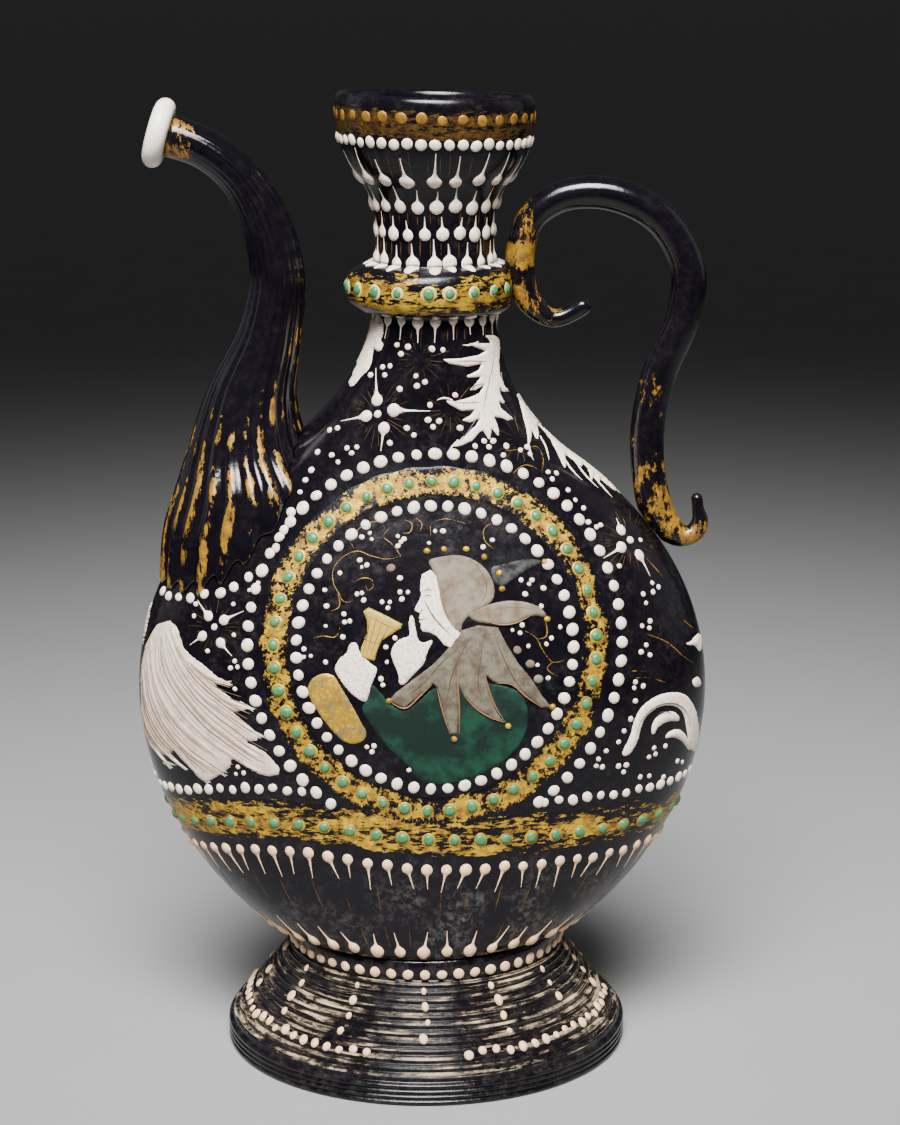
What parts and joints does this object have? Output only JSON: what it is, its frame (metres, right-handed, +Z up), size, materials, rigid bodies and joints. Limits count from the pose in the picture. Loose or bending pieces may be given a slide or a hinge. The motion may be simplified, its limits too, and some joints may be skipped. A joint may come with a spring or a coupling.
{
  "type": "glass ewer",
  "caption": "Dark glass ewer: flattened pear-shaped body on a ribbed spreading foot, knopped neck with flared cup mouth, fluted curved spout and rod handle.",
  "frame": {"origin": "centre of the foot, on the surface that it stands on", "axes": "+Z up along the ewer; -X towards the spout and +X towards the handle; -Y towards the front with the round panel"},
  "size_m": [0.1624, 0.116, 0.2726],
  "materials": {
    "dark_glass": "glossy, near-black purple glass, so deep that it looks opaque",
    "foot_glass": "the same glass, weathered, with pale abrasion on the ribs",
    "spout_glass": "glossy dark glass with worn gilding on the flutes",
    "handle_glass": "glossy dark glass with worn gilding at both ends",
    "white_glass": "opaque white glass, softly glossy",
    "white_enamel": "opaque fired enamel, low domed drops",
    "green_enamel": "opaque fired enamel, low domed drops",
    "grey_enamel": "thin matt enamel wash",
    "gilding": "worn fired gold leaf, broken where it has rubbed off"
  },
  "bodies": {
    "root": {"body": "dark_glass", "foot": "foot_glass", "spout": "spout_glass", "spout_lip": "white_glass", "handle": "handle_glass"}
  },
  "joints": []
}
